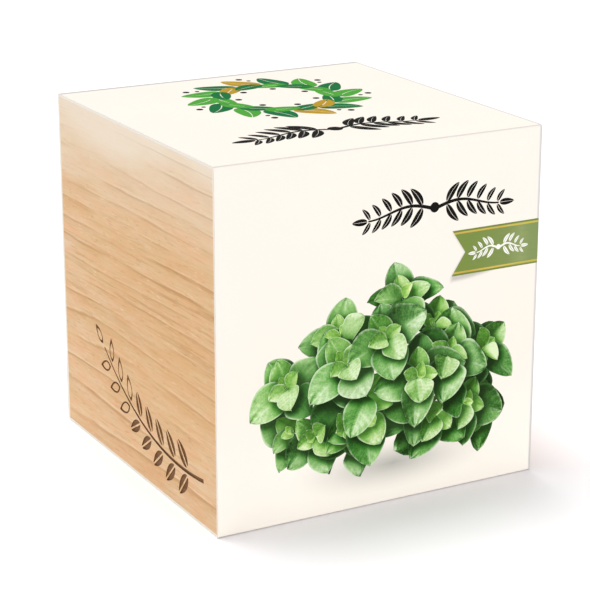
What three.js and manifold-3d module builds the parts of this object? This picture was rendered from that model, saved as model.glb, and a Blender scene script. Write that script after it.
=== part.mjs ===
// A herb-growing cube: a wooden block with a blind hole for the plant, filled with clay granules and
// a seed packet, and wrapped front to back in one folded strip of card.
// Millimetres, +Z up, origin at the bottom centre. The card's front panel faces -Y, and the bare
// wooden sides face -X and +X. The -X side carries an engraved branch.

import * as THREE from "three";
import { mergeVertices } from "three/addons/utils/BufferGeometryUtils.js";
import { RoundedBoxGeometry } from "three/addons/geometries/RoundedBoxGeometry.js";
import Module from "manifold-3d";

const wasm = await Module();
wasm.setup();

// Driving dimensions
const BLOCK = 75; // edge of the wooden cube
const BLOCK_EASE = 0.25; // rounding of its edges
const BORE_DIAMETER = 50;
const BORE_DEPTH = 55;
const BORE_CHAMFER = 0.8;
const SPUR_RADIUS = 2.5; // the drill's centre point leaves a shallow cone in the floor
const SPUR_DEPTH = 1.5;

const CARD = 0.4; // thickness of the card
const CARD_GAP = 0.1; // between the card and the wood
const FOLD_RADIUS = 0.15; // inside each fold
const GLUE_FLAP = 12; // height of the flap behind the back panel
const LAP_EDGE = 0.8; // the back panel's cut edge, above the bottom
const LAP_EASE = 6; // height over which the back panel comes back to the wood above the flap

const BRANCH_START = [-32, 10]; // (y, z) on the -X side
const BRANCH_BEND = [-4, 6.5];
const BRANCH_TIP = [16, 24];
const BRANCH_WIDTH = 0.9; // at the cut end of the stem
const BRANCH_TIP_WIDTH = 0.45;
const LEAF_PAIRS = 8;
const FILLED_PAIRS = 5; // the lower pairs are cut away whole, the others only outlined
const FIRST_PAIR = 0.12; // along the stem
const LAST_PAIR = 0.9;
const LEAF_LENGTH = 7.4;
const LEAF_SHRINK = 0.3; // how much shorter the leaf at the tip is
const LEAF_SLIMNESS = 0.23; // half width over length
const LEAF_SPREAD = 0.85; // radians between a leaf and the stem
const LEAF_STANDOFF = 1; // from the stem's middle
const ENGRAVED_LINE = 0.4;
const ENGRAVING_DEPTH = 0.3;

const FIT = 0.3; // clearance of the loose filling
const GRANULE_COUNT = 58;
const GRANULE_RADIUS = 3.1;
const GRANULE_SPREAD = 0.5; // how far radii vary from that
const BED_LEVEL = 63; // top of the packed bed
const GRANULE_SINK = 0.9; // centres of the top layer, below that
const GRANULE_HEAVE = 0.4; // how far those centres vary in height
const PACKET_LENGTH = 35;
const PACKET_WIDTH = 26;
const PACKET_EDGE = 0.4; // thickness of its crimped edge
const PACKET_FILL = 0.9; // how far the seeds swell each face
const PACKET_CRIMP = 4;
const PACKET_TURN = 0.35;

// Worked out from them
const BLOCK_FLOOR = CARD + CARD_GAP;
const BLOCK_TOP = BLOCK_FLOOR + BLOCK;
const BLOCK_Y = -CARD / 2; // the back lap is two cards thick, so the block sits forward of centre
const BORE_FLOOR = BLOCK_TOP - BORE_DEPTH;
const BED_RADIUS = BORE_DIAMETER / 2 - FIT;

const finish = (color, roughness) => new THREE.MeshStandardMaterial({ color, roughness, metalness: 0 });
const wood = finish(0xdfb791, 0.62);
const card = finish(0xfcf8ec, 0.55);
const clay = finish(0xa2603f, 0.95);
const kraft = finish(0xc8a878, 0.8);

// Closed geometry to solid and back

function solidOf(geometry) {
  const bare = geometry.clone();
  bare.deleteAttribute("normal");
  bare.deleteAttribute("uv");
  const { attributes, index } = mergeVertices(bare);
  const triVerts = [];
  for (let i = 0; i < index.count; i += 3) {
    const [a, b, c] = [index.getX(i), index.getX(i + 1), index.getX(i + 2)];
    if (a !== b && b !== c && c !== a) triVerts.push(a, b, c);
  }
  const mesh = new wasm.Mesh({
    numProp: 3,
    vertProperties: attributes.position.array,
    triVerts: Uint32Array.from(triVerts),
  });
  return new wasm.Manifold(mesh);
}

function geometryOf(solid) {
  const { vertProperties, triVerts } = solid.getMesh();
  const geometry = new THREE.BufferGeometry();
  geometry.setAttribute("position", new THREE.BufferAttribute(vertProperties, 3));
  geometry.setIndex(new THREE.BufferAttribute(triVerts, 1));
  geometry.computeVertexNormals();
  return geometry;
}

function named(name, geometry, material) {
  const mesh = new THREE.Mesh(geometry, material);
  mesh.name = name;
  return mesh;
}

// Carries a sketch in (y, z) to the plane at x, so that its depth runs along +X
function onSide(geometry, x) {
  const toSide = new THREE.Matrix4().makeBasis(
    new THREE.Vector3(0, 1, 0),
    new THREE.Vector3(0, 0, 1),
    new THREE.Vector3(1, 0, 0),
  );
  return geometry.applyMatrix4(toSide.setPosition(x, 0, 0));
}

// The engraved branch

function leafSide(length, halfWidth) {
  return new THREE.CubicBezierCurve(
    new THREE.Vector2(0, 0),
    new THREE.Vector2(length * 0.22, halfWidth * 1.45),
    new THREE.Vector2(length * 0.68, halfWidth * 1.1),
    new THREE.Vector2(length, 0),
  );
}

// Half a leaf, kept clear of the uncut rib along its middle
function halfLeafShape(length, halfWidth, side) {
  const rib = ENGRAVED_LINE / 2;
  const edge = leafSide(length, halfWidth).getPoints(12);
  const cut = edge.filter((point) => point.y > rib);
  const points = [new THREE.Vector2(cut[0].x, rib), ...cut, new THREE.Vector2(cut.at(-1).x, rib)];
  return new THREE.Shape(points.map((point) => new THREE.Vector2(point.x, side * point.y)));
}

// A whole leaf's outline from its base, counterclockwise
function leafLoop(start, length, halfWidth) {
  const edge = leafSide(length, halfWidth).getPoints(12);
  const back = edge.slice(1, -1).reverse();
  const near = edge.map((point) => new THREE.Vector2(start + point.x, -point.y));
  const far = back.map((point) => new THREE.Vector2(start + point.x, point.y));
  return [...near, ...far];
}

function leafOutlineShape(length, halfWidth) {
  const shape = new THREE.Shape(leafLoop(0, length, halfWidth));
  const inner = leafLoop(ENGRAVED_LINE * 2, length - ENGRAVED_LINE * 5, halfWidth - ENGRAVED_LINE);
  shape.holes.push(new THREE.Path(inner));
  return shape;
}

function ribbonShape(curve, startWidth, endWidth, steps) {
  const left = [];
  const right = [];
  for (let i = 0; i <= steps; i++) {
    const t = i / steps;
    const point = curve.getPoint(t);
    const tangent = curve.getTangent(t);
    const half = THREE.MathUtils.lerp(startWidth, endWidth, t) / 2;
    const across = new THREE.Vector2(-tangent.y, tangent.x).multiplyScalar(half);
    left.push(point.clone().add(across));
    right.unshift(point.clone().sub(across));
  }
  return new THREE.Shape([...left, ...right]);
}

function branchCutters() {
  const stem = new THREE.QuadraticBezierCurve(
    new THREE.Vector2(...BRANCH_START),
    new THREE.Vector2(...BRANCH_BEND),
    new THREE.Vector2(...BRANCH_TIP),
  );
  const cutters = [];
  const reach = 1; // how far the cutters stand out of the wood
  const cut = (shape, turn, place) => {
    const depth = ENGRAVING_DEPTH + reach;
    const geometry = new THREE.ExtrudeGeometry(shape, { depth, bevelEnabled: false });
    geometry.rotateZ(turn).translate(place.x, place.y, 0);
    cutters.push(onSide(geometry, -BLOCK / 2 - reach));
  };
  cut(ribbonShape(stem, BRANCH_WIDTH, BRANCH_TIP_WIDTH, 24), 0, new THREE.Vector2());
  const cutLeaf = (t, turnOut, filled) => {
    const length = LEAF_LENGTH * (1 - LEAF_SHRINK * t);
    const halfWidth = length * LEAF_SLIMNESS;
    const turn = stem.getTangent(t).angle() + turnOut;
    const outward = new THREE.Vector2(Math.cos(turn), Math.sin(turn));
    const place = stem.getPoint(t).addScaledVector(outward, LEAF_STANDOFF);
    if (filled) {
      cut(halfLeafShape(length, halfWidth, 1), turn, place);
      cut(halfLeafShape(length, halfWidth, -1), turn, place);
    } else {
      cut(leafOutlineShape(length, halfWidth), turn, place);
    }
  };
  for (let i = 0; i < LEAF_PAIRS; i++) {
    const t = FIRST_PAIR + ((LAST_PAIR - FIRST_PAIR) * i) / (LEAF_PAIRS - 1);
    cutLeaf(t, -LEAF_SPREAD, i < FILLED_PAIRS);
    cutLeaf(t, LEAF_SPREAD, i < FILLED_PAIRS);
  }
  cutLeaf(1, 0, false);
  return cutters;
}

// The wooden cube

function boreCutter() {
  const radius = BORE_DIAMETER / 2;
  const above = 1;
  const profile = [
    new THREE.Vector2(0, BORE_FLOOR - SPUR_DEPTH),
    new THREE.Vector2(SPUR_RADIUS, BORE_FLOOR),
    new THREE.Vector2(radius, BORE_FLOOR),
    new THREE.Vector2(radius, BLOCK_TOP - BORE_CHAMFER),
    new THREE.Vector2(radius + BORE_CHAMFER + above, BLOCK_TOP + above),
    new THREE.Vector2(0, BLOCK_TOP + above),
  ];
  return new THREE.LatheGeometry(profile, 64).rotateX(Math.PI / 2).translate(0, BLOCK_Y, 0);
}

function woodBlock() {
  const cube = new RoundedBoxGeometry(BLOCK, BLOCK, BLOCK, 2, BLOCK_EASE);
  cube.translate(0, BLOCK_Y, BLOCK_FLOOR + BLOCK / 2);
  let block = solidOf(cube).subtract(solidOf(boreCutter()));
  for (const cutter of branchCutters()) block = block.subtract(solidOf(cutter));
  return geometryOf(block);
}

// The card sleeve: its folded profile in (y, z), drawn out over the width of the block

function paperSleeve() {
  const inside = BLOCK / 2 + CARD_GAP; // half the space inside the folded card
  const front = BLOCK_Y - inside;
  const back = BLOCK_Y + inside;
  const floor = CARD;
  const roof = BLOCK_TOP + CARD_GAP;
  const inner = FOLD_RADIUS;
  const outer = FOLD_RADIUS + CARD;
  const quarter = Math.PI / 2;

  const profile = new THREE.Shape();
  profile.moveTo(front + inner, floor - CARD);
  profile.lineTo(back - inner, floor - CARD);
  profile.absarc(back - inner, floor + inner, outer, -quarter, 0, false);
  profile.lineTo(back + CARD, LAP_EDGE);
  profile.lineTo(back + 2 * CARD, LAP_EDGE);
  profile.lineTo(back + 2 * CARD, floor + GLUE_FLAP + CARD);
  profile.lineTo(back + CARD, floor + GLUE_FLAP + LAP_EASE);
  profile.lineTo(back + CARD, roof - inner);
  profile.absarc(back - inner, roof - inner, outer, 0, quarter, false);
  profile.lineTo(front + inner, roof + CARD);
  profile.absarc(front + inner, roof - inner, outer, quarter, 2 * quarter, false);
  profile.lineTo(front - CARD, floor + inner);
  profile.absarc(front + inner, floor + inner, outer, 2 * quarter, 3 * quarter, false);

  const space = new THREE.Path();
  space.moveTo(front + inner, floor);
  space.lineTo(back - inner, floor);
  space.absarc(back - inner, floor + inner, inner, -quarter, 0, false);
  space.lineTo(back, floor + GLUE_FLAP);
  space.lineTo(back + CARD, floor + GLUE_FLAP);
  space.lineTo(back + CARD, floor + GLUE_FLAP + CARD);
  space.lineTo(back, floor + GLUE_FLAP + LAP_EASE);
  space.lineTo(back, roof - inner);
  space.absarc(back - inner, roof - inner, inner, 0, quarter, false);
  space.lineTo(front + inner, roof);
  space.absarc(front + inner, roof - inner, inner, quarter, 2 * quarter, false);
  space.lineTo(front, floor + inner);
  space.absarc(front + inner, floor + inner, inner, 2 * quarter, 3 * quarter, false);
  profile.holes.push(space);

  const strip = new THREE.ExtrudeGeometry(profile, { depth: BLOCK, bevelEnabled: false, curveSegments: 3 });
  return onSide(strip, -BLOCK / 2);
}

// The growing medium: a bed that fills the hole, with rounded granules all over its top

function granule(radius) {
  const ball = new THREE.IcosahedronGeometry(radius, 1);
  const pebble = mergeVertices(ball.deleteAttribute("normal").deleteAttribute("uv"));
  const position = pebble.attributes.position;
  const point = new THREE.Vector3();
  for (let i = 0; i < position.count; i++) {
    const swell = 0.92 + 0.16 * THREE.MathUtils.seededRandom();
    point.fromBufferAttribute(position, i).multiplyScalar(swell);
    position.setXYZ(i, point.x, point.y, point.z * 0.85);
  }
  return pebble.rotateZ(2 * Math.PI * THREE.MathUtils.seededRandom());
}

function clayGranules() {
  THREE.MathUtils.seededRandom(11);
  const height = BED_LEVEL - BORE_FLOOR - FIT;
  const bed = new THREE.CylinderGeometry(BED_RADIUS, BED_RADIUS, height, 40).rotateX(Math.PI / 2);
  bed.translate(0, BLOCK_Y, BORE_FLOOR + FIT + height / 2);
  let heap = solidOf(bed);
  const goldenAngle = Math.PI * (3 - Math.sqrt(5));
  const outermost = BED_RADIUS - 1.1 * (GRANULE_RADIUS + GRANULE_SPREAD);
  for (let i = 0; i < GRANULE_COUNT; i++) {
    const radius = GRANULE_RADIUS + GRANULE_SPREAD * (2 * THREE.MathUtils.seededRandom() - 1);
    const level = BED_LEVEL - GRANULE_SINK + GRANULE_HEAVE * (2 * THREE.MathUtils.seededRandom() - 1);
    const distance = outermost * Math.sqrt((i + 0.5) / GRANULE_COUNT);
    const x = distance * Math.cos(i * goldenAngle);
    const y = BLOCK_Y + distance * Math.sin(i * goldenAngle);
    heap = heap.add(solidOf(granule(radius).translate(x, y, level)));
  }
  return geometryOf(heap);
}

// The seed packet: a flat sachet, swollen in the middle and crimped at both ends

function seedPacket() {
  const sachet = new THREE.BoxGeometry(PACKET_LENGTH, PACKET_WIDTH, PACKET_EDGE, 28, 8, 1);
  const position = sachet.attributes.position;
  const halfLength = PACKET_LENGTH / 2;
  const halfWidth = PACKET_WIDTH / 2;
  for (let i = 0; i < position.count; i++) {
    const x = position.getX(i);
    const y = position.getY(i);
    const face = Math.sign(position.getZ(i));
    const along = Math.max(0, 1 - (x / (halfLength - PACKET_CRIMP)) ** 2);
    const across = Math.max(0, 1 - (y / halfWidth) ** 2);
    const ridge = Math.abs(x) > halfLength - PACKET_CRIMP ? 0.12 * (Math.round(x / 1.25) % 2) : 0;
    position.setZ(i, face * (PACKET_EDGE / 2 + PACKET_FILL * Math.sqrt(along * across)) + ridge);
  }
  const highest = BED_LEVEL - GRANULE_SINK + GRANULE_HEAVE + 0.92 * (GRANULE_RADIUS + GRANULE_SPREAD);
  const level = highest + FIT + PACKET_EDGE / 2 + PACKET_FILL;
  return sachet.rotateZ(PACKET_TURN).translate(0, BLOCK_Y, level);
}

const growingCube = new THREE.Group();
growingCube.add(named("wood_block", woodBlock(), wood));
growingCube.add(named("paper_sleeve", paperSleeve(), card));
growingCube.add(named("clay_granules", clayGranules(), clay));
growingCube.add(named("seed_packet", seedPacket(), kraft));

export default growingCube;
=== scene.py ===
import math
import random

import bmesh
import bpy
import numpy as np
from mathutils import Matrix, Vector


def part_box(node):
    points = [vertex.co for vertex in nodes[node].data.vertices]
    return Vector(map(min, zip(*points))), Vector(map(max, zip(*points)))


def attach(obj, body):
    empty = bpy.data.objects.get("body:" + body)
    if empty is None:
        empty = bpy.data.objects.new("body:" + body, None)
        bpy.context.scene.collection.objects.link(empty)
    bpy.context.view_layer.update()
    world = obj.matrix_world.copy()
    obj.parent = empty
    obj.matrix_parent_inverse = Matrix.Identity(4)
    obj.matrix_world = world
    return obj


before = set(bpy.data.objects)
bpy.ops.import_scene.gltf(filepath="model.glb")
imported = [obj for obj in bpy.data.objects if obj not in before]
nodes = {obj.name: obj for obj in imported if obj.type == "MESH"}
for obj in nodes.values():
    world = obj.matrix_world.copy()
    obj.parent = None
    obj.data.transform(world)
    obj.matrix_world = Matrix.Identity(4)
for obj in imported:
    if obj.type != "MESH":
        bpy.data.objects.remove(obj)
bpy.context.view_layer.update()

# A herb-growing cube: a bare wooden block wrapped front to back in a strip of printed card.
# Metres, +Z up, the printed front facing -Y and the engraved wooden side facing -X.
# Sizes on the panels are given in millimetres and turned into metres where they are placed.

MM = 0.001
card_low, card_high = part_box("paper_sleeve")
wood_low, wood_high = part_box("wood_block")

CARD = wood_low.z * 0.8  # thickness of the card, the rest of that height being its gap
FRONT = card_low.y  # outside of the front panel
BACK = card_high.y - CARD  # outside of the back panel, above its doubled foot
TOP = card_high.z  # outside of the top panel
HALF_WIDTH = card_high.x  # from the middle of a panel to the card's cut edge
CARD_MIDDLE_Y = (FRONT + BACK) / 2

# How ink lies on the card, and how both shine
FIRST_LAYER = 0.008  # mm, how far the lowest layer of ink stands on the card
LAYER_STEP = 0.003  # mm, between one layer of ink and the next
RELIEF_SHARE = 0.7  # how much of that step a painted leaf's own relief may take up
SUNK = 0.02  # mm, how far the ink goes into the card
INK_GLOSS = 0.03  # specular level of ink, which is all but matt
CARD_GLOSS = 0.12  # the same for the card's coating


# ---- colours and material nodes

STUDIO_LIGHT = 1.16  # how much brighter than its own colour a level white sheet looks here


def srgb(code):
    """The linear red, green, blue and alpha of a surface that looks like this swatch, such as "7a9a4a",
    in the studio's light."""
    channels = [int(code[i:i + 2], 16) / 255 for i in (0, 2, 4)]
    linear = [c / 12.92 if c <= 0.04045 else ((c + 0.055) / 1.055) ** 2.4 for c in channels]
    return (*[c / STUDIO_LIGHT for c in linear], 1.0)


class Recipe:
    """A material being mixed: short names for the nodes that its pattern is made from. Each takes other
    nodes' outputs as well as numbers, and a colour may be a swatch's code."""

    def __init__(self, name, roughness, specular):
        self.material = bpy.data.materials.new(name)
        self.material.use_nodes = True
        self.tree = self.material.node_tree
        self.shader = self.tree.nodes["Principled BSDF"]
        self.shader.inputs["Roughness"].default_value = roughness
        self.shader.inputs["Specular IOR Level"].default_value = specular
        self.coordinates = self.node("TexCoord").outputs["Object"]

    def node(self, kind, inputs=(), **settings):
        made = self.tree.nodes.new("ShaderNode" + kind)
        for key, value in settings.items():
            setattr(made, key, value)
        for key, value in dict(inputs).items():
            self.put(value, made.inputs[key])
        return made

    def put(self, value, socket):
        if isinstance(value, bpy.types.NodeSocket):
            self.tree.links.new(value, socket)
        else:
            socket.default_value = srgb(value) if isinstance(value, str) else value

    def place(self, scale=1.0, at=(0, 0, 0)):
        """The piece's coordinates in millimetres, times scale, then moved by at."""
        scales = scale if isinstance(scale, tuple) else (scale,) * 3
        mapping = self.node("Mapping", {
            "Vector": self.coordinates, "Scale": [s / MM for s in scales], "Location": at})
        return mapping.outputs["Vector"]

    def turn(self, rotation):
        """From here on, the pattern lies turned by these angles about x, y and z."""
        mapping = self.node("Mapping", {"Vector": self.coordinates, "Rotation": rotation})
        self.coordinates = mapping.outputs["Vector"]

    def split(self, vector):
        return self.node("SeparateXYZ", {"Vector": vector}).outputs

    def maths(self, operation, a, b=0.0, clamp=False):
        return self.node("Math", {0: a, 1: b}, operation=operation, use_clamp=clamp).outputs[0]

    def plus(self, total, *others):
        for other in others:
            total = self.maths("ADD", total, other)
        return total

    def minus(self, a, b):
        return self.maths("SUBTRACT", a, b)

    def times(self, product, *others):
        for other in others:
            product = self.maths("MULTIPLY", product, other)
        return product

    def noise(self, scale, detail=2.0, roughness=0.5, distortion=0.0, at=(0, 0, 0)):
        return self.node("TexNoise", {
            "Vector": self.place(scale, at), "Scale": 1.0, "Detail": detail,
            "Roughness": roughness, "Distortion": distortion}).outputs["Fac"]

    def window(self, value, low, high, at_low=0.0, at_high=1.0):
        """value carried from low..high to at_low..at_high, smoothly and no further."""
        return self.node("MapRange", {
            "Value": value, "From Min": low, "From Max": high,
            "To Min": at_low, "To Max": at_high}, interpolation_type="SMOOTHSTEP").outputs["Result"]

    def band(self, value, start, full, fade, end):
        """0 up to start, 1 from full to fade, and 0 again from end on."""
        return self.times(self.window(value, start, full), self.window(value, fade, end, 1.0, 0.0))

    def inside(self, value, low, high, soft=0.02):
        """1 between low and high, 0 outside."""
        return self.band(value, low - soft, low + soft, high - soft, high + soft)

    def mix(self, amount, a, b):
        made = self.tree.nodes.new("ShaderNodeMix")
        made.data_type = "RGBA"
        factor, first, second = (made.inputs[i] for i in (0, 6, 7))
        self.put(amount, factor)
        self.put(a, first)
        self.put(b, second)
        return made.outputs[2]

    def ramp(self, value, stops):
        made = self.node("ValToRGB", {"Fac": value})
        elements = made.color_ramp.elements
        while len(elements) < len(stops):
            elements.new(0.5)
        for element, (position, code) in zip(elements, stops):
            element.position = position
            element.color = srgb(code)
        return made.outputs["Color"]

    def attribute(self, name):
        return self.node("Attribute", attribute_name=name).outputs

    def colour(self, value):
        self.put(value, self.shader.inputs["Base Color"])

    def roughness(self, value):
        self.put(value, self.shader.inputs["Roughness"])

    def bump(self, height, distance_mm, strength=1.0):
        made = self.node("Bump", {
            "Height": height, "Distance": distance_mm * MM, "Strength": strength})
        self.tree.links.new(made.outputs["Normal"], self.shader.inputs["Normal"])


# ---- wood

HEART = (62.0, -48.0)  # x and z of the middle of the tree, mm, which grew along Y
RING = 2.9  # mm that the tree grew in a year
RING_SWAY = 3.4  # years that the rings wander by over the whole block
RING_RIPPLE = 0.4  # years that they ripple by from one place to the next
GRAIN_RISE = math.radians(1.2)  # how much the fibres rise towards the front
ENGRAVING_DEPTH = 0.3  # mm
UNCUT_RIM = 1.2  # mm along the wood's edges that nothing is engraved in
CHAR_START = 0.04  # mm into the wood where the burnt colour starts
CHAR_PAST = 0.05  # mm past the floor of the engraving where it ends


def year_rings(r, x, z):
    """What a year of growth shows: late wood that darkens through the year, the dark line that it ends
    in, and the pale earlywood after that line, which is also a painted highlight beside it. Each is 1
    where it shows most."""
    reach_x = r.maths("POWER", r.minus(x, HEART[0]), 2.0)
    reach_z = r.maths("POWER", r.minus(z, HEART[1]), 2.0)
    radius = r.maths("SQRT", r.plus(reach_x, reach_z))
    sway = r.noise((0.02, 0.005, 0.03), 2.0, at=(0.3, 7.1, 2.2))
    ripple = r.noise((0.25, 0.03, 0.3), 3.0, 0.6, at=(5.0, 1.0, 0.0))
    rings = r.maths("DIVIDE", radius, RING)
    year = r.maths("FRACT", r.plus(rings, r.times(sway, RING_SWAY), r.times(ripple, RING_RIPPLE)))
    late = r.band(year, 0.35, 0.93, 0.94, 1.0)
    line = r.band(year, 0.84, 0.94, 0.95, 1.0)
    # Pale earlywood just after the dark line, also painted as a highlight beside that line
    earlywood_and_highlight = r.band(year, 0.0, 0.02, 0.03, 0.14)
    return late, line, earlywood_and_highlight


def in_engraving(r, x, y, z):
    """1 on the walls and the floor of the engraving, 0 elsewhere."""
    face = wood_low.x / MM
    return r.times(r.inside(x, face + CHAR_START, face + ENGRAVING_DEPTH + CHAR_PAST),
                   r.inside(z, wood_low.z / MM + UNCUT_RIM, wood_high.z / MM - UNCUT_RIM),
                   r.inside(y, wood_low.y / MM + UNCUT_RIM, wood_high.y / MM - UNCUT_RIM))


def planed_wood():
    """Pale hardwood whose fibres run along Y, with painted light towards the top and a burnt engraving on
    -X.
    """
    r = Recipe("planed_wood", 0.6, 0.15)
    x, y, z = r.split(r.place())
    r.turn((GRAIN_RISE, 0, 0))
    _, _, grain_z = r.split(r.place())
    late, line, earlywood_and_highlight = year_rings(r, x, grain_z)

    # From the broadest clouds of colour to single fibres, all drawn out along Y
    broad = r.noise((0.06, 0.022, 0.10), 3.0, 0.55, 0.3, at=(3.1, 0.4, 7.7))
    fading = r.noise((0.1, 0.03, 0.12), 2.0, at=(4.0, 4.0, 1.0))
    patches = r.noise((0.22, 0.045, 0.26), 3.0, 0.55, 0.4, at=(1.7, 5.0, 0.0))
    blush = r.noise((0.35, 0.09, 0.42), 3.0, 0.6, 0.5, at=(8.0, 3.0, 5.0))
    streaks = r.noise((0.3, 0.02, 0.62), 3.0, 0.62, at=(2.0, 0.2, 6.0))
    strokes = r.noise((0.9, 0.055, 1.25), 3.0, 0.6, 0.2, at=(0.0, 2.0, 4.0))
    flecks = r.noise((1.8, 0.33, 2.7), 1.0, 0.4, 0.2, at=(9.0, 1.0, 2.0))
    fibres = r.noise((3.0, 0.2, 4.0), 2.0, 0.6)

    body = r.ramp(broad, [(0.32, "efcfa8"), (0.46, "eac89a"), (0.55, "ebcb9f"), (0.68, "f0d2b0")])
    body = r.mix(r.window(patches, 0.50, 0.66, 0.0, 0.5), body, "e2b881")
    body = r.mix(r.window(patches, 0.30, 0.42, 0.5, 0.0), body, "efcfa6")
    body = r.mix(r.window(blush, 0.40, 0.66, 0.08, 0.62), body, "f0bb8e")
    seen = r.window(fading, 0.38, 0.60, 0.05, 1.0)
    body = r.mix(r.times(late, seen, 0.34), body, "d2a36e")
    body = r.mix(r.times(line, seen, 0.50), body, "be8a54")
    # Painted highlight beside each dark line, as pale earlywood
    body = r.mix(r.times(earlywood_and_highlight, seen, 0.50), body, "f8dfbc")
    body = r.mix(r.window(strokes, 0.56, 0.70, 0.0, 0.36), body, "cc9c66")
    body = r.mix(r.window(strokes, 0.27, 0.42, 0.5, 0.0), body, "f2d4b0")

    # Warmer and more streaked half way up, most of all towards the front
    warmth = r.times(r.inside(z, 19.0, 57.0, 10.0), r.window(y, 4.0, 36.0, 0.34, 0.06))
    body = r.mix(warmth, body, "ddad6c")
    middle = r.times(r.inside(z, 33.0, 58.0, 9.0), r.window(y, -4.0, 28.0, 1.0, 0.5))
    body = r.mix(r.times(r.window(streaks, 0.54, 0.63, 0.0, 0.5), middle), body, "c08c52")

    # Single fibres, and flecks darker and paler than the wood round them
    body = r.mix(r.window(fibres, 0.42, 0.70, 0.0, 0.14), body, "b98c5f")
    body = r.mix(r.window(flecks, 0.66, 0.72, 0.0, 0.26), body, "b1824f")
    body = r.mix(r.window(flecks, 0.24, 0.32, 0.35, 0.0), body, "f9e3c0")

    # Painted light: paler and less marked towards the top, standing for the glow of light on the upper
    # wood
    rise = r.plus(z, r.times(r.minus(broad, 0.5), 22.0))
    body = r.mix(r.window(rise, 50.0, 77.0, 0.0, 0.72), body, "f2e2c8")
    body = r.mix(r.window(rise, 66.0, 78.0, 0.0, 0.5), body, "fbf1e0")
    body = r.mix(r.times(line, seen, r.window(rise, 52.0, 62.0, 0.0, 0.3)), body, "cda57a")

    char = r.ramp(strokes, [(0.3, "916c47"), (0.7, "765231")])
    r.colour(r.mix(in_engraving(r, x, y, z), body, char))
    r.roughness(r.window(fibres, 0.3, 0.7, 0.52, 0.68))
    r.bump(r.plus(r.times(fibres, -1.0), r.times(flecks, -0.5)), 0.05, 0.5)
    return r.material


# ---- card and inks

# Painted light: the front's cream is made paler towards the middle of its foot, where the floor leaves it
# less lit
PAINTED_LIGHT_CREAM = (0.95, 0.895, 0.815, 1.0)  # the front's cream at the middle of its foot, linear
PAINTED_LIGHT_HEIGHT = 32.0  # mm above the foot where it is the same cream as elsewhere
PAINTED_LIGHT_LEFT = -37.0  # mm across the front where it is half as pale as in the middle
PAINTED_LIGHT_FULL = -17.0  # mm across the front where it has all its paleness


def cream_print(r):
    """The colour of the card's printed face, the same wherever a recipe asks for it. The front is painted
    a shade lighter towards the middle of its foot, as painted light that evens out the light falling off
    there near the floor."""
    cloud = r.noise(0.05)
    grain = r.noise(4.0, 3.0)
    cream = r.mix(r.window(cloud, 0.35, 0.65), "fcf5eb", "fbf4e9")
    cream = r.mix(r.window(grain, 0.35, 0.7, 0.0, 0.35), cream, "f9f1e5")
    x, y, z = r.split(r.place())
    # Painted light: paler towards the middle of the front's foot, where less light reaches it
    foot = r.times(r.window(z, 0.0, PAINTED_LIGHT_HEIGHT, 1.0, 0.0),
                   r.window(x, PAINTED_LIGHT_LEFT, PAINTED_LIGHT_FULL, 0.5, 1.0),
                   r.window(y, FRONT / MM + 0.1, FRONT / MM + 0.6, 1.0, 0.0))
    return r.mix(foot, cream, PAINTED_LIGHT_CREAM)


def printed_card():
    """Coated card: cream outside, plain board inside, pale fibrous cut edges and whitened folds."""
    r = Recipe("printed_card", 0.55, CARD_GLOSS)
    x, y, z = r.split(r.place())
    normal = r.node("NewGeometry").outputs["Normal"]
    facing = r.maths("ABSOLUTE", r.split(normal)[0])
    fibre = r.noise((1.2, 9.0, 9.0), 3.0, 0.6)

    # Plain board on the inside of the sleeve
    depth = CARD / MM / 2
    front, back, top, end = FRONT / MM, BACK / MM, TOP / MM, HALF_WIDTH / MM
    within = r.times(r.inside(y, front + depth, back - depth), r.inside(z, depth, top - depth))
    board = r.mix(fibre, "ece7dc", "ddd7ca")
    colour = r.mix(within, cream_print(r), board)

    # The coating cracks a little along each fold, and the card is greyer beside the cut edge on +X
    near_fold = r.maths("MAXIMUM", r.window(y, front + 0.2, front + 0.6, 0.75, 0.0),
                        r.window(y, back - 1.9, back - 1.2))
    reach_z = r.maths("ABSOLUTE", r.minus(z, top / 2))
    fold = r.times(near_fold, r.window(reach_z, top / 2 - 0.32, top / 2 - 0.12))
    colour = r.mix(r.times(fold, r.window(fibre, 0.2, 0.6, 0.75, 1.0)), colour, "c2beba")
    rim = r.window(x, end - 0.6, end - 0.3)
    colour = r.mix(r.times(rim, 0.85), colour, "d3d0cf")
    edge = r.window(facing, 0.8, 0.95)
    r.colour(r.mix(edge, colour, r.mix(fibre, "fdf9ef", "efe9dd")))
    r.roughness(r.window(fibre, 0.3, 0.7, 0.52, 0.6))
    r.bump(fibre, 0.01, 0.4)
    return r.material


def printed_shade():
    """A soft printed shadow: the card's own cream, greyer where the piece's shade attribute is high."""
    r = Recipe("printed_shade", 0.55, CARD_GLOSS)
    shade = r.attribute("shade")["Fac"]
    r.colour(r.mix(shade, cream_print(r), "8a8d88"))
    return r.material


def ink(name, code, darker):
    """A flat printed colour, a little uneven as ink is on board."""
    r = Recipe(name, 0.6, INK_GLOSS)
    mottle = r.noise(1.4, 4.0, 0.65)
    grain = r.noise(9.0, 2.0)
    colour = r.mix(r.window(mottle, 0.35, 0.68, 0.0, 0.5), code, darker)
    r.colour(r.mix(r.window(grain, 0.55, 0.8, 0.0, 0.08), colour, "ffffff"))
    r.bump(grain, 0.004, 0.3)
    return r.material


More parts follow.
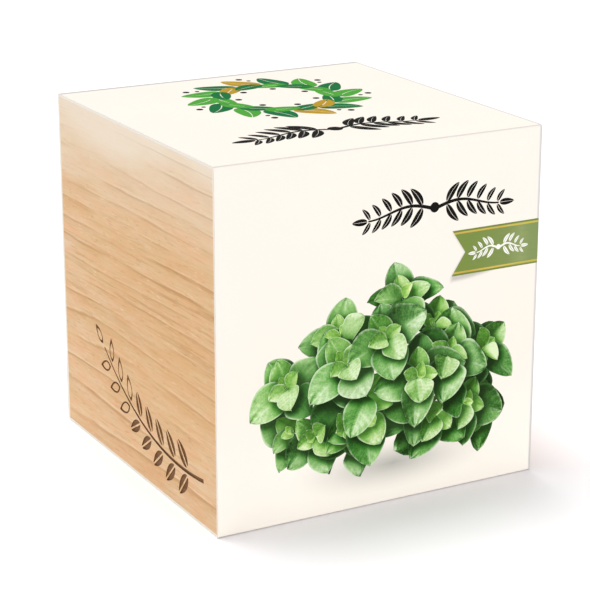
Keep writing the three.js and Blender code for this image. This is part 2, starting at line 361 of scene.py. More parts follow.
def ribbon_ink():
    """The printed ribbon: olive at its tails, sage towards its end, with a soft sheen band across it."""
    r = Recipe("ribbon_ink", 0.6, INK_GLOSS)
    x, _, _ = r.split(r.place())
    weave = r.noise((0.25, 1.0, 6.0), 3.0, 0.6)
    colour = r.ramp(r.window(x, 16.0, 37.5), [(0.0, "7d9148"), (0.35, "80934f"), (0.7, "859658"),
                                              (0.9, "93a269"), (1.0, "879960")])
    r.colour(r.mix(r.window(weave, 0.4, 0.7, 0.0, 0.2), colour, "6f823f"))
    r.bump(weave, 0.004, 0.4)
    return r.material


def gold_ink():
    """The ribbon's printed gold lines, greener towards its end."""
    r = Recipe("gold_ink", 0.5, 0.2)
    x, _, _ = r.split(r.place())
    streak = r.noise((0.12, 1.0, 5.0), 3.0, 0.6)
    gold = r.ramp(streak, [(0.3, "bb9c40"), (0.5, "cdb050"), (0.7, "dcc75f")])
    r.colour(r.mix(r.window(x, 26.0, 37.0, 0.0, 0.7), gold, "c4bd4c"))
    return r.material


def painted(r):
    """What a piece's paint attribute holds: light, youth, shadow, and how felted the leaf is."""
    paint = r.attribute("paint")
    light, youth, shadow = r.node("SeparateColor", {"Color": paint["Color"]}).outputs
    return light, youth, shadow, paint["Alpha"]


def leaf_ink():
    """Painted leaves, whose leaf map runs along each leaf and across it."""
    r = Recipe("leaf_ink", 0.6, INK_GLOSS)
    along, across, _ = r.split(r.node("UVMap", uv_map="leaf_map").outputs["UV"])
    light, youth, shadow, felt = painted(r)
    out = r.maths("ABSOLUTE", r.minus(r.times(across, 2.0), 1.0))
    down = r.noise(2.4, 4.0, 0.7)
    patches = r.noise(0.3)

    # Side veins leave the rib forwards and the leaf swells between them
    slant = r.minus(r.times(along, 6.5), r.times(out, 1.7))
    wave = r.maths("PINGPONG", slant, 0.5)
    lit = r.times(r.window(shadow, 0.0, 0.6, 1.0, 0.1), r.window(youth, 0.1, 0.8, 1.0, 0.25))
    quilt = r.times(r.window(wave, 0.0, 0.5, -0.09, 0.05), lit)
    vein = r.times(r.window(wave, 0.0, 0.08, 1.0, 0.0), r.window(out, 0.72, 0.92, 1.0, 0.0))
    rib = r.window(out, 0.02, 0.10, 1.0, 0.0)
    rim = r.maths("MAXIMUM", r.window(out, 0.86, 0.97), r.window(along, 0.93, 0.99))

    value = r.plus(light, quilt, r.window(down, 0.25, 0.75, -0.12, 0.12),
                   r.window(patches, 0.3, 0.7, -0.08, 0.08))
    value = r.maths("MULTIPLY", value, r.window(shadow, 0.0, 1.0, 1.0, 0.04), clamp=True)

    grown = r.ramp(value, [(0.0, "10220a"), (0.12, "214c19"), (0.28, "37782a"), (0.45, "579a44"),
                           (0.62, "7eb763"), (0.80, "a9d48f"), (1.0, "d6efc2")])
    young = r.ramp(value, [(0.0, "27430f"), (0.25, "5a9030"), (0.5, "93c656"), (0.75, "c6e588"),
                           (1.0, "eefac6")])
    grey = r.ramp(value, [(0.0, "27371f"), (0.3, "5b7f4e"), (0.6, "95b583"), (1.0, "dae8cd")])
    colour = r.mix(felt, r.mix(youth, grown, young), grey)
    pale = r.mix(r.window(value, 0.05, 0.6, 0.0, 1.0), "3f6c33", "dff1cc")
    colour = r.mix(r.times(vein, 0.24, lit), colour, pale)
    colour = r.mix(r.times(rib, 0.45, lit), colour, pale)
    r.colour(r.mix(r.times(rim, 0.62), colour, pale))
    return r.material


def stem_ink():
    """Painted stems, lit along one side."""
    r = Recipe("stem_ink", 0.6, INK_GLOSS)
    light, _, shadow, _ = painted(r)
    grain = r.noise((1.6, 1.6, 0.7), 3.0, 0.6)
    value = r.plus(light, r.window(grain, 0.3, 0.7, -0.12, 0.12))
    value = r.maths("MULTIPLY", value, r.window(shadow, 0.0, 1.0, 1.0, 0.15), clamp=True)
    r.colour(r.ramp(value, [(0.0, "2c3a1c"), (0.4, "6f7f42"), (0.75, "a7b271"), (1.0, "d6dca8")]))
    return r.material


# ---- hidden filling

def fired_clay():
    """Porous fired granules, dusty and unevenly brown."""
    r = Recipe("fired_clay", 0.92, 0.2)
    cells = r.node("TexVoronoi", {"Vector": r.place(1.4), "Scale": 1.0})
    pores = cells.outputs["Distance"]
    cloud = r.noise(0.35, 4.0, 0.6)
    dust = r.noise(2.5, 4.0, 0.7)
    colour = r.ramp(cloud, [(0.3, "7f4630"), (0.5, "a1603f"), (0.7, "b97c56")])
    colour = r.mix(r.window(pores, 0.05, 0.3, 0.6, 0.0), colour, "4a281b")
    r.colour(r.mix(r.window(dust, 0.55, 0.75, 0.0, 0.5), colour, "d0ab8c"))
    r.bump(r.plus(pores, dust), 0.3, 0.7)
    return r.material


def kraft_paper():
    """Brown unbleached paper with its fibres lying crosswise."""
    r = Recipe("kraft_paper", 0.8, 0.25)
    fibre = r.noise((3.0, 1.0, 3.0), 5.0, 0.7, 0.6)
    cloud = r.noise(0.2)
    colour = r.mix(r.window(fibre, 0.35, 0.7), "c9a877", "ab8757")
    r.colour(r.mix(r.window(cloud, 0.3, 0.7, 0.0, 0.3), colour, "d9bd92"))
    r.bump(fibre, 0.06, 0.6)
    return r.material


# ---- panels and plates of ink

class Panel:
    """A flat side of the sleeve, with millimetres counted right and up on it from its origin."""

    def __init__(self, *sides):
        self.origin, self.right, self.up, self.out = (Vector(side) for side in sides)

    def point(self, a, b, height):
        return self.origin + (self.right * a + self.up * b + self.out * height) * MM


FRONT_PANEL = Panel((0, FRONT, 0), (1, 0, 0), (0, 0, 1), (0, -1, 0))  # from its middle foot
TOP_PANEL = Panel((0, CARD_MIDDLE_Y, TOP), (1, 0, 0), (0, 1, 0), (0, 0, 1))  # from its middle


def start_piece():
    """An empty mesh whose corners remember their spot on the sheet they belong to."""
    bm = bmesh.new()
    bm.verts.layers.float_vector.new("spot")
    return bm


def finish_piece(name, bm, material):
    bm.verts.layers.float_vector.remove(bm.verts.layers.float_vector["spot"])
    bmesh.ops.recalc_face_normals(bm, faces=bm.faces)
    mesh = bpy.data.meshes.new(name)
    bm.to_mesh(mesh)
    bm.free()
    mesh.materials.append(material)
    piece = bpy.data.objects.new(name, mesh)
    bpy.context.scene.collection.objects.link(piece)
    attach(piece, "root")


def ink_sheet(bm, panel, cells, place, layer, relief=None):
    """A closed plate of ink. place(u, v) gives millimetres right and up on the panel for the sheet's
    corners, where u and v run from 0 to 1. The plate stands on the card as high as its layer says,
    and relief(u, v), from 0 to 1, lifts it a little towards the next layer."""
    spot = bm.verts.layers.float_vector["spot"]
    made = bmesh.ops.create_grid(bm, x_segments=cells[0], y_segments=cells[1], size=0.5)["verts"]
    for v in made:
        along = round((v.co.x + 0.5) * cells[0]) / cells[0]
        across = round((v.co.y + 0.5) * cells[1]) / cells[1]
        v[spot] = (along, across, 0.0)
        a, b = place(along, across)
        v.co = panel.point(a, b, -SUNK)
    faces = list(dict.fromkeys(f for v in made for f in v.link_faces))
    raised = bmesh.ops.extrude_face_region(bm, geom=faces)["geom"]
    for v in (g for g in raised if isinstance(g, bmesh.types.BMVert)):
        steps = layer + (RELIEF_SHARE * relief(*v[spot][:2]) if relief else 0.0)
        v.co += panel.out * (SUNK + FIRST_LAYER + LAYER_STEP * steps) * MM


def turned(x, y, angle, centre):
    c, s = math.cos(angle), math.sin(angle)
    return centre[0] + x * c - y * s, centre[1] + x * s + y * c


LEAF_BELLY = 0.78  # under 1, a leaf is widest before the middle of its length
LEAF_FULLNESS = 0.62  # the less, the rounder its ends
FLAT_LEAF_CELLS = 14  # along a flat leaf
ROUTE_NUDGE = 0.01  # share of a route either way that its direction is read from
DOT_CELLS = (5, 5)


def leaf_half_width(u):
    """Half the width of a round-tipped leaf at u of its length, where 1 is its widest."""
    return np.maximum(np.sin(np.pi * u ** LEAF_BELLY), 0.0) ** LEAF_FULLNESS


def flat_leaf(bm, panel, base, angle, length, half_width, layer, bend, rib):
    """A plain leaf of ink in two halves, either side of an unprinted rib. bend is the share of its
    length that it bows by, and rib is half the rib's width."""
    for side in (-1, 1):
        def place(u, v):
            inner = rib * (1 - 0.5 * u)
            outer = max(half_width * float(leaf_half_width(u)), inner)
            bow = 0.5 * bend * length * math.sin(math.pi * u)
            return turned(u * length, side * (inner + (outer - inner) * v) + bow, angle, base)
        ink_sheet(bm, panel, (FLAT_LEAF_CELLS, 1), place, layer)


def ink_line(bm, panel, route, steps, width_start, width_end, layer):
    """A line of ink along route(u), narrowing or widening on the way."""
    def place(u, v):
        here, before, after = (np.array(route(t)) for t in (u, u - ROUTE_NUDGE, u + ROUTE_NUDGE))
        along = (after - before) / np.linalg.norm(after - before)
        width = width_start + (width_end - width_start) * u
        return here + np.array([-along[1], along[0]]) * width * (v - 0.5)
    ink_sheet(bm, panel, (steps, 1), place, layer)


def ink_dot(bm, panel, centre, radius, layer):
    """A round spot of ink: a square sheet whose corners are drawn in to a circle."""
    def place(u, v):
        x, y = 2 * u - 1, 2 * v - 1
        across = radius * x * math.sqrt(1 - y * y / 2)
        up = radius * y * math.sqrt(1 - x * x / 2)
        return centre[0] + across, centre[1] + up
    ink_sheet(bm, panel, DOT_CELLS, place, layer)


# ---- the printed herb

# Space in the painting is right, up, and towards the viewer, in millimetres on the front panel
TOWARDS_VIEWER = np.array([0, 0, 1.0])
TOWARDS_LIGHT = np.array([-0.46, 0.62, 0.63])

HERB_SEED = 11
CLUMP_FOOT = np.array([2.0, 14.0, 0.0])
# Rows of sprigs from the back to the front: how many, how many degrees the outer ones lean, how far a
# sprig reaches, its tilt towards the viewer at its foot and at its tip, its pairs of leaves, and how
# long they are
SPRIG_ROWS = ((5, 54, 27.0, 0, 12, 5, 12.0),
              (7, 78, 33.5, 6, 62, 3, 11.2),
              (5, 80, 25.0, 18, 72, 2, 11.8),
              (4, 84, 16.0, 34, 80, 2, 12.0),
              (2, 50, 9.0, 55, 84, 2, 11.6))
ROW_SPREAD = 4.5  # how far either way the outer sprigs of a row are rooted
ROW_RISE = 1.0  # how much higher each row is rooted than the one behind it
ROW_DEPTH = 3.2  # how much nearer the viewer
OUTER_SHORTER = 0.32  # how much shorter the outer sprigs are than the middle ones

STEM_STEPS = 28  # straight lengths that a stem is worked out in
STEM_WIDTH = 1.25  # at its root
STEM_TAPER = 0.6  # how much narrower it is at its tip
STEM_ROUND = 1.45  # radians that its shape goes round, either way from the viewer
STEM_CORNERS = 5  # on the way round
LOWEST_PAIR = 0.30  # share of the stem below the lowest pair of leaves
PAIRS_REACH = 0.60  # share of the stem that its pairs are spread over
PAIRS_TAPER = 0.16  # how much shorter the leaves of the highest pair are than those of the lowest
PAIR_OPENS = 80  # degrees that the lowest pair opens from the stem
PAIR_CLOSES = 4  # degrees less for each pair above it
PAIR_STALK = 0.35  # from the stem's middle to the leaf
ROSETTE_STALK = 0.05  # the same in a rosette
ROSETTE_FOOT = 0.96  # share of the stem below the rosette at its tip
ROSETTE_STEP = 0.006  # share of the stem between two of the rosette's pairs
# The pairs of leaves in a rosette, from the outside in: their share of the sprig's leaf length, how
# many degrees they open from the stem, and how young they are
ROSETTE = ((0.88, 80, 0.05), (0.60, 66, 0.30), (0.44, 52, 0.52),
           (0.33, 39, 0.72), (0.23, 27, 0.88), (0.15, 16, 1.0))

LEAF_CORNERS = (13, 9)  # along and across a leaf
LEAF_NARROWEST = 0.03  # share of its greatest half-width that it keeps at both ends
RIB_DEPTH = 0.12  # how deep its rib is sunk, as a share of its half-width
RIB_SHARPNESS = 6
UNDERSIDE_FELT = 0.75  # how felted the undersides are
EDGE_ON = 0.34  # a leaf turned to the viewer by less than this is left out
HIDDEN = 0.96  # share of a blade out of sight that leaves it unprinted

# The grid of cells that says what hides or shades what
CANVAS_LOW = np.array([-37.0, 0.0])  # its lower left corner
CANVAS_CELL = 0.2
CANVAS_SHAPE = (370, 300)  # cells right and up
SHADOW_FALL = np.array([0.8, -0.9])  # how far a leaf's shadow falls right and up
SHADOW_SOFT = 5  # cells that its edge is spread over, each way
GLOOM_SOFT = 22  # the same for the gloom under the foliage
SHADOW_SHARE = 0.70  # how much a leaf is darkened by full shadow
GLOOM_SHARE = 0.85  # by full gloom
FAR_SHARE = 0.50  # and by being at the very back

DARK_VALUE = 0.08  # how bright a blade is painted where no light falls on it
LIGHT_VALUE = 0.80  # what full light adds to that
SHINE_VALUE = 0.18  # what a glint adds
YOUTH_VALUE = 0.26  # what the youngest leaves have besides
FOOT_SHADE = 0.3  # how much darker a leaf is at its own foot
YOUTH_CLEAR = 0.6  # how much less the youngest leaves are darkened


def unit(vector):
    return vector / np.linalg.norm(vector)


class Blade:
    """One painted leaf or length of stem, a curved sheet in space that is then laid flat on its panel."""

    def __init__(self, kind, sprig, points, youth, felt):
        self.kind = kind
        self.sprig = sprig
        self.youth = youth
        self.points = points
        self.cells = (points.shape[0] - 1, points.shape[1] - 1)
        normals = np.cross(np.gradient(points, axis=0), np.gradient(points, axis=1))
        normals /= np.maximum(np.linalg.norm(normals, axis=2, keepdims=True), 1e-9)
        self.felt = np.where(normals[:, :, 2] < 0, UNDERSIDE_FELT, felt)
        self.normals = np.where(normals[:, :, 2:] < 0, -normals, normals)
        self.depth = float(points[:, :, 2].mean())
        low, high = points[:, :, 2].min(), points[:, :, 2].max()
        self.relief = (points[:, :, 2] - low) / max(high - low, 1e-6)

    def covered_cells(self):
        """The cells of the canvas that this blade hides, as two index arrays. It is filled in with so
        many spots between its corners that no cell is missed."""
        filling = 10
        fine = self.points[:, :, :2]
        for axis in (0, 1):
            start, end = (fine[:-1], fine[1:]) if axis == 0 else (fine[:, :-1], fine[:, 1:])
            fine = np.concatenate([start + (end - start) * k / filling for k in range(filling)], axis=axis)
        spots = np.unique(((fine.reshape(-1, 2) - CANVAS_LOW) / CANVAS_CELL).astype(int), axis=0)
        spots = spots[(spots >= 0).all(1) & (spots < CANVAS_SHAPE).all(1)]
        return spots[:, 0], spots[:, 1]


def leaf_blade(sprig, base, along, normal, length, half_width, youth, felt, cup, droop, ripple):
    """A leaf from its base along its own direction, cupped, drooping, rippled and sunk at its rib."""
    across = unit(np.cross(normal, along))
    normal = np.cross(along, across)
    u = np.linspace(0, 1, LEAF_CORNERS[0])[:, None, None]
    v = np.linspace(-1, 1, LEAF_CORNERS[1])[None, :, None]
    wide = np.maximum(leaf_half_width(u), LEAF_NARROWEST)
    cupped = cup * half_width * v * v * wide
    sunk = RIB_DEPTH * half_width * np.exp(-(v * RIB_SHARPNESS) ** 2)
    rippled = ripple * half_width * np.sin(9 * u + 4 * v) * np.abs(v)
    fall = -droop * length * u * u + cupped - sunk + rippled
    points = base + along * length * u + across * half_width * wide * v + normal * fall
    return Blade("leaf", sprig, points, youth, felt)


def stem_blade(sprig, points, start_width, end_width):
    """A length of stem as the half of a tube that faces the viewer."""
    points = np.array(points)
    along = np.gradient(points, axis=0)
    along /= np.linalg.norm(along, axis=1, keepdims=True)
    across = np.cross(along, TOWARDS_VIEWER)
    across /= np.linalg.norm(across, axis=1, keepdims=True)
    widths = np.linspace(start_width, end_width, len(points))[:, None]
    rows = [points + across * widths * math.sin(turn) / 2 + TOWARDS_VIEWER * widths * math.cos(turn) / 2
            for turn in np.linspace(-STEM_ROUND, STEM_ROUND, STEM_CORNERS)]
    return Blade("stem", sprig, np.stack(rows, axis=1), 0.0, 0.0)


def stem_route(root, lean, start_tilt, end_tilt, length, wander):
    """The middle of a stem from its root to its tip, as it bends towards the viewer and wanders aside."""
    upright = np.array([math.sin(lean), math.cos(lean), 0.0])
    aside = np.array([upright[1], -upright[0], 0.0])
    here = np.array(root, dtype=float)
    route = [here]
    for i in range(STEM_STEPS):
        t = i / STEM_STEPS
        tilt = start_tilt + (end_tilt - start_tilt) * t ** 1.5
        sideways = aside * wander * math.sin(2.6 * t)
        direction = unit((upright + sideways) * math.cos(tilt) + TOWARDS_VIEWER * math.sin(tilt))
        here = here + direction * length / STEM_STEPS
        route.append(here)
    return route


def leaf_pair(rng, number, base, axis, turn, reach, spread, youth, stalk, blades):
    """Two leaves that face each other across the stem, unless they are edge on to the viewer."""
    first = unit(np.cross(axis, [0.3, 0.5, 0.81]))
    second = np.cross(axis, first)
    for half in (0, math.pi):
        out = first * math.cos(turn + half) + second * math.sin(turn + half)
        opening = spread + rng.uniform(-0.14, 0.14)
        along = unit(axis * math.cos(opening) + out * math.sin(opening))
        normal = unit(axis * math.sin(opening) - out * math.cos(opening))
        length = reach * rng.uniform(0.88, 1.12)
        half_width = length * rng.uniform(0.38, 0.46)
        own_youth = min(youth + rng.uniform(0, 0.2), 1.0)
        felt = rng.uniform(0.0, 0.4) * (1 - youth)
        cup = rng.uniform(0.05, 0.6)
        droop = rng.uniform(-0.04, 0.20)
        ripple = rng.uniform(0.0, 0.14)
        if abs(normal[2]) > EDGE_ON:
            blades.append(leaf_blade(number, base + along * stalk, along, normal, length, half_width,
                                     own_youth, felt, cup, droop, ripple))


def herb_sprig(rng, number, root, lean, start_tilt, end_tilt, length, pairs, size, blades):
    """Adds the leaves and the stem of one sprig, with crossed pairs and a rosette at its tip."""
    route = stem_route(root, lean, start_tilt, end_tilt, length, rng.uniform(-0.25, 0.25))
    places = [LOWEST_PAIR + PAIRS_REACH * k / max(pairs - 1, 1) for k in range(pairs)]
    places += [ROSETTE_FOOT + ROSETTE_STEP * k for k in range(len(ROSETTE))]
    turn = rng.uniform(0, math.pi)
    last = int(places[0] * STEM_STEPS)
    for k, t in enumerate(places):
        index = min(int(t * STEM_STEPS), STEM_STEPS - 1)
        ahead = route[index + 1] - route[index]
        base = route[index] + ahead * (t * STEM_STEPS - index)
        turn += math.pi / 2 + rng.uniform(-0.28, 0.28)
        if k < pairs:
            share = 1.0 - PAIRS_TAPER * k / max(pairs - 1, 1)
            degrees, youth, stalk = PAIR_OPENS - PAIR_CLOSES * k, 0.0, PAIR_STALK
        else:
            share, degrees, youth = ROSETTE[k - pairs]
            stalk = ROSETTE_STALK
        leaf_pair(rng, number, base, unit(ahead), turn, size * share, math.radians(degrees), youth, stalk,
                  blades)
        if k <= pairs:
            if index > last:
                widths = [STEM_WIDTH - STEM_TAPER * i / STEM_STEPS for i in (last, index)]
                blades.append(stem_blade(number, route[last:index + 2], *widths))
            last = index


def box_blur(canvas, reach):
    """Every cell becomes the mean of those up to reach cells away, along both directions."""
    width = 2 * reach + 1
    for axis in (0, 1):
        pad = [(reach + 1, reach) if a == axis else (0, 0) for a in (0, 1)]
        total = np.cumsum(np.pad(canvas, pad, mode="edge"), axis=axis)
        if axis == 0:
            canvas = (total[width:] - total[:-width]) / width
        else:
            canvas = (total[:, width:] - total[:, :-width]) / width
    return canvas


def lay_out(blades):
    """Leaves out the blades that would be out of sight, and gives every other its layer, from the back
    forwards, and how much those in front shade it."""
    blades.sort(key=lambda blade: blade.depth)
    front, back = blades[-1].depth, blades[0].depth
    in_front = np.zeros(CANVAS_SHAPE)
    top = np.array(CANVAS_SHAPE) - 1
    seen = []
    for blade in reversed(blades):
        blade.cover = blade.covered_cells()
        if in_front[blade.cover].mean() > HIDDEN:
            continue
        seen.insert(0, blade)
        spots = (blade.points[:, :, :2] - CANVAS_LOW) / CANVAS_CELL
        cast = np.clip(spots - SHADOW_FALL / CANVAS_CELL, 0, top).astype(int)
        here = np.clip(spots, 0, top).astype(int)
        shadow = box_blur(box_blur(in_front, SHADOW_SOFT), 2)[cast[..., 0], cast[..., 1]]
        gloom = box_blur(in_front, GLOOM_SOFT)[here[..., 0], here[..., 1]]
        distance = 1 - (blade.depth - back) / (front - back)
        shade = SHADOW_SHARE * shadow + GLOOM_SHARE * gloom + FAR_SHARE * distance ** 1.5
        blade.shade = np.clip(shade, 0, 0.97)
        in_front[blade.cover] = 1.0

    level = np.full(CANVAS_SHAPE, -1)
    for blade in seen:
        near = [np.clip(blade.cover[0] + i, 0, top[0]) for i in (-1, 0, 1)]
        beside = [np.clip(blade.cover[1] + j, 0, top[1]) for j in (-1, 0, 1)]
        blade.layer = int(max(level[i, j].max() for i in near for j in beside)) + 1
        level[blade.cover] = blade.layer
    return seen


def painted_piece(name, blades, material):
    """Blades laid flat on the front panel, with their light and shade kept in the paint attribute."""
    bm = start_piece()
    bm.verts.layers.float_color.new("paint")
    leaf_map = bm.loops.layers.uv.new("leaf_map")
    half_vector = unit(TOWARDS_LIGHT + TOWARDS_VIEWER)
    for blade in blades:
        n, m = blade.cells
        light = np.maximum(blade.normals @ TOWARDS_LIGHT, 0.0)
        shine = np.maximum(blade.normals @ half_vector, 0.0) ** 14
        value = DARK_VALUE + LIGHT_VALUE * light ** 1.4 + SHINE_VALUE * shine + YOUTH_VALUE * blade.youth
        foot = FOOT_SHADE * (1 - np.linspace(0, 1, n + 1)[:, None]) ** 2
        shade = np.clip(blade.shade + (foot if blade.kind == "leaf" else 0.0), 0, 1)
        shade = shade * (1 - YOUTH_CLEAR * blade.youth)

        def corner(u, v):
            return round(u * n), round(v * m)

        before = len(bm.verts)
        ink_sheet(bm, FRONT_PANEL, blade.cells, lambda u, v: blade.points[corner(u, v)][:2], blade.layer,
                  lambda u, v: blade.relief[corner(u, v)])
        bm.verts.ensure_lookup_table()
        spot = bm.verts.layers.float_vector["spot"]
        paint = bm.verts.layers.float_color["paint"]
        fresh = bm.verts[before:]
        for v in fresh:
            key = corner(*v[spot][:2])
            v[paint] = (value[key], blade.youth, shade[key], blade.felt[key])
        for face in dict.fromkeys(f for v in fresh for f in v.link_faces):
            for loop in face.loops:
                loop[leaf_map].uv = loop.vert[spot][:2]
    finish_piece(name, bm, material)


def herb_clump():
    """A full clump of herb growing upright, painted across the lower two thirds of the front."""
    rng = random.Random(HERB_SEED)
    blades = []
    number = 0
    for row, (count, widest, reach, start_tilt, end_tilt, pairs, size) in enumerate(SPRIG_ROWS):
        for n in range(count):
            share = 2 * n / (count - 1) - 1
            lean = math.radians(widest * share + rng.uniform(-5, 5))
            length = reach * (1 - OUTER_SHORTER * abs(share) ** 1.4) * rng.uniform(0.84, 1.08)
            root = CLUMP_FOOT + np.array([ROW_SPREAD * share, ROW_RISE * row + rng.uniform(-1, 1),
                                          ROW_DEPTH * row])
            herb_sprig(rng, number, root, lean, math.radians(start_tilt + rng.uniform(-5, 5)),
                       math.radians(end_tilt + rng.uniform(-10, 8)), length, pairs,
                       size * rng.uniform(0.92, 1.06), blades)
            number += 1
    seen = lay_out(blades)
    leaves = leaf_ink()
    painted_piece("print_stems", [b for b in seen if b.kind == "stem"], stem_ink())
    for n in range(number):
        own = [b for b in seen if b.kind == "leaf" and b.sprig == n]
        if own:
            painted_piece(f"print_sprig_{n + 1:02d}", own, leaves)


# ---- printed shadows and the ribbon

# The ground's printed shadow under the herb, in mm on the front panel
GROUND_MIDDLE = (3.0, 8.5)
GROUND_REACH = (25.0, 6.2)
GROUND_DEPTH = 0.7  # how dark it is in its middle

# The ribbon, in mm on the front panel
RIBBON_LEFT = 16.3  # the points of its forked tail
RIBBON_NOTCH = 19.5  # the bottom of the fork
RIBBON_END = HALF_WIDTH / MM - 0.06  # just short of the card's cut edge
RIBBON_LOW = 46.6
RIBBON_HIGH = 56.2
RIBBON_MIDDLE = (RIBBON_LOW + RIBBON_HIGH) / 2
RIBBON_RIM = 0.25  # width of the darker rim along its long edges
GOLD_NEAR = 0.42  # from the ribbon's edge to the gold line's nearer side
GOLD_FAR = 0.80  # and to its farther side

# The ribbon's printed shadow
SHADE_LENGTH = 11.0  # how far it runs along under the ribbon
SHADE_DROP = 1.45  # how far it shows below the ribbon's tail
SHADE_LEFT = 0.5  # and to the left of it
SHADE_SOFT = 0.8  # what its edge fades over
SHADE_DEPTH = 0.52  # how dark it is inside that edge


def soft_shade(name, panel, low, high, cells, amount):
    """A shadow printed on the card over a rectangle, as deep at each spot of it as amount(a, b) says."""
    bm = start_piece()
    bm.verts.layers.float.new("shade")

    def place(u, v):
        return low[0] + (high[0] - low[0]) * u, low[1] + (high[1] - low[1]) * v

    ink_sheet(bm, panel, cells, place, -1)
    spot, shade = bm.verts.layers.float_vector["spot"], bm.verts.layers.float["shade"]
    for v in bm.verts:
        v[shade] = amount(*place(*v[spot][:2]))
    finish_piece(name, bm, printed_shade())


def ground_shade(a, b):
    """How dark the printed ground is under the herb."""
    out = math.hypot((a - GROUND_MIDDLE[0]) / GROUND_REACH[0],
                     (b - GROUND_MIDDLE[1]) / GROUND_REACH[1])
    return GROUND_DEPTH * max(0.0, 1 - out) ** 1.4


def tail_edge(height):
    """How far left the ribbon's forked tail reaches at this height on the panel."""
    share = abs(height - RIBBON_MIDDLE) / (RIBBON_HIGH - RIBBON_MIDDLE)
    return RIBBON_NOTCH + (RIBBON_LEFT - RIBBON_NOTCH) * share


def ribbon_shade(a, b):
    """How dark the ribbon's printed shadow is. It falls down and to the left, under the tail alone."""
    along = min(max((a - RIBBON_LEFT) / SHADE_LENGTH, 0.0), 1.0)
    below = SHADE_DROP * (1 - along ** 2)
    inwards = min(a - max(tail_edge(b), RIBBON_LEFT) + SHADE_LEFT, b - RIBBON_LOW + below,
                  RIBBON_HIGH - b)
    return SHADE_DEPTH * min(max(inwards / SHADE_SOFT, 0.0), 1.0)


def ribbon_band(name, low, high, layer, material, rows=2):
    """A level band of the ribbon, from its forked tail to the panel's right edge."""
    def place(u, v):
        height = low + (high - low) * v
        left = tail_edge(height)
        return left + (RIBBON_END - left) * u, height

    bm = start_piece()
    ink_sheet(bm, FRONT_PANEL, (8, rows), place, layer)
    finish_piece(name, bm, material)


def ribbon():
    rims = ink("olive_ink", "7b8a36", "68762b")
    ribbon_band("print_ribbon_rims", RIBBON_LOW, RIBBON_HIGH, 1, rims)
    ribbon_band("print_ribbon", RIBBON_LOW + RIBBON_RIM, RIBBON_HIGH - RIBBON_RIM, 2, ribbon_ink())
    gold = gold_ink()
    ribbon_band("print_ribbon_gold_low", RIBBON_LOW + GOLD_NEAR, RIBBON_LOW + GOLD_FAR, 3, gold, 1)
    ribbon_band("print_ribbon_gold_high", RIBBON_HIGH - GOLD_FAR, RIBBON_HIGH - GOLD_NEAR, 3, gold, 1)


# ---- garlands and the wreath

GARLAND_FIRST = 0.12  # share of a garland's stem before its first pair of leaves
GARLAND_REACH = 0.84  # share of the stem that its pairs are spread over
GARLAND_TAPER = 0.38  # how much shorter its last leaves are than its first
GARLAND_LEAN = 0.92  # radians that they stand off the stem
GARLAND_RIB = 0.05  # mm, half the width of their ribs

WREATH_MIDDLE = (2.5, 11.5)  # mm on the top panel
WREATH_RING = 13.5  # mm, radius of its stem
WREATH_NODES = 14  # places on the stem where one leaf grows out of the ring and one in
WREATH_RIB = 0.14  # mm, half the width of its leaves' ribs
WREATH_INKS = (("print_wreath_dark", "dark_green_ink", "14753f", "0f6232"),
               ("print_wreath_green", "mid_green_ink", "52a83c", "429634"),
               ("print_wreath_ochre", "ochre_ink", "bf9a2c", "aa8623"))
# The leaf that grows out and the one that grows in: how many radians it turns from the stem, its length
# in mm, its layer, how much it bends, and which of the inks it has at each of seven nodes running
WREATH_LEAVES = ((-0.62, 9.6, 2, 0.16, (0, 1, 0, 2, 0, 1, 1)),
                 (0.60, 8.2, 3, -0.1, (1, 0, 1, 0, 2, 0, 1)))
# The berries at the even and the odd nodes: the share of the way to the next node where one stands, how
# far it is out from the ring in mm, and its radius in mm
WREATH_BERRIES = (((0.62, -4.9, 0.75),),
                  ((0.36, 6.9, 0.75), (0.18, 4.9, 0.5)))


def leafy_rule(name, panel, centre, half_length, leaf, pairs, material, layer=1, thick=0.75):
    """A slim garland that grows both ways from a bud in its middle. leaf is its longest leaf's length."""
    bm = start_piece()
    start, stem, rise = 0.2 * leaf, half_length - 0.95 * leaf, 0.2 * leaf
    for way in (-1, 1):
        outwards = 0 if way > 0 else math.pi

        def route(t):
            return centre[0] + way * (start + stem * t), centre[1] + rise * math.sin(math.pi * 1.5 * t)

        ink_line(bm, panel, route, 18, thick, 0.45 * thick, layer)
        for k in range(pairs):
            x, y = route(GARLAND_FIRST + GARLAND_REACH * k / (pairs - 1))
            size = leaf * (1 - GARLAND_TAPER * k / (pairs - 1))
            for side in (-1, 1):
                flat_leaf(bm, panel, (x + way * 0.2, y + side * 0.3), outwards + way * side * GARLAND_LEAN,
                          size, size * 0.17, layer + 1 + k % 2, 0.12 * side * way, GARLAND_RIB)
        x, y = route(1.0)
        flat_leaf(bm, panel, (x + way * 0.2, y), outwards, leaf * 0.75, leaf * 0.15, layer + 3, 0.0,
                  GARLAND_RIB)
    ink_dot(bm, panel, centre, 0.23 * leaf, layer + 4)
    finish_piece(name, bm, material)


def on_ring(k, reach=WREATH_RING):
    """Where the wreath's node k is, or a place level with it that is nearer its middle or farther out."""
    turn = 2 * math.pi * k / WREATH_NODES
    return WREATH_MIDDLE[0] + reach * math.cos(turn), WREATH_MIDDLE[1] + reach * math.sin(turn)


